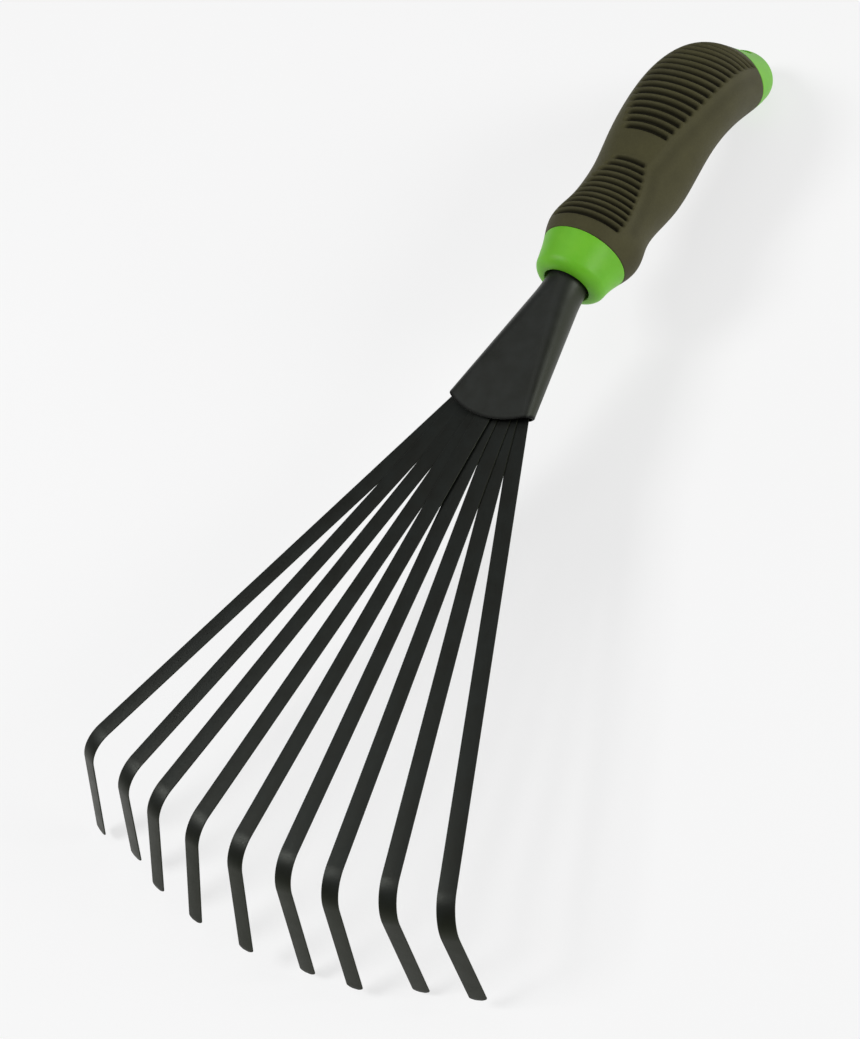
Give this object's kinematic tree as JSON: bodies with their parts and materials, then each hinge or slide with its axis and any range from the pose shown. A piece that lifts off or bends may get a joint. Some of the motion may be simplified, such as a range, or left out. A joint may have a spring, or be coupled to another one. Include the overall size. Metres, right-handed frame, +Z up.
{
  "type": "hand rake",
  "caption": "Hand rake with fanned flat spring tines bent down at the tips, clamped in a flattened steel ferrule, on a curved ribbed soft-grip handle with a hanging hole.",
  "frame": {"origin": "under the middle of the tool: the centre of its bounding box in plan, at the level of its lowest point", "axes": "+X along the tool from the butt of the handle to the tines, +Z up out of the back of the tines, +Y across the fan"},
  "size_m": [0.3854, 0.1614, 0.0602],
  "materials": {
    "soft_grip": "matt, fine grain",
    "handle_plastic": "satin to gloss",
    "coated_steel": "satin black powder coat",
    "weld": "rough, coated over"
  },
  "bodies": {
    "root": {"handle_core": "handle_plastic", "soft_grip": "soft_grip", "ferrule": "coated_steel", "root_weld": "weld", "tine_1": "coated_steel", "tine_2": "coated_steel", "tine_3": "coated_steel", "tine_4": "coated_steel", "tine_5": "coated_steel", "tine_6": "coated_steel", "tine_7": "coated_steel", "tine_8": "coated_steel", "tine_9": "coated_steel"}
  },
  "joints": []
}
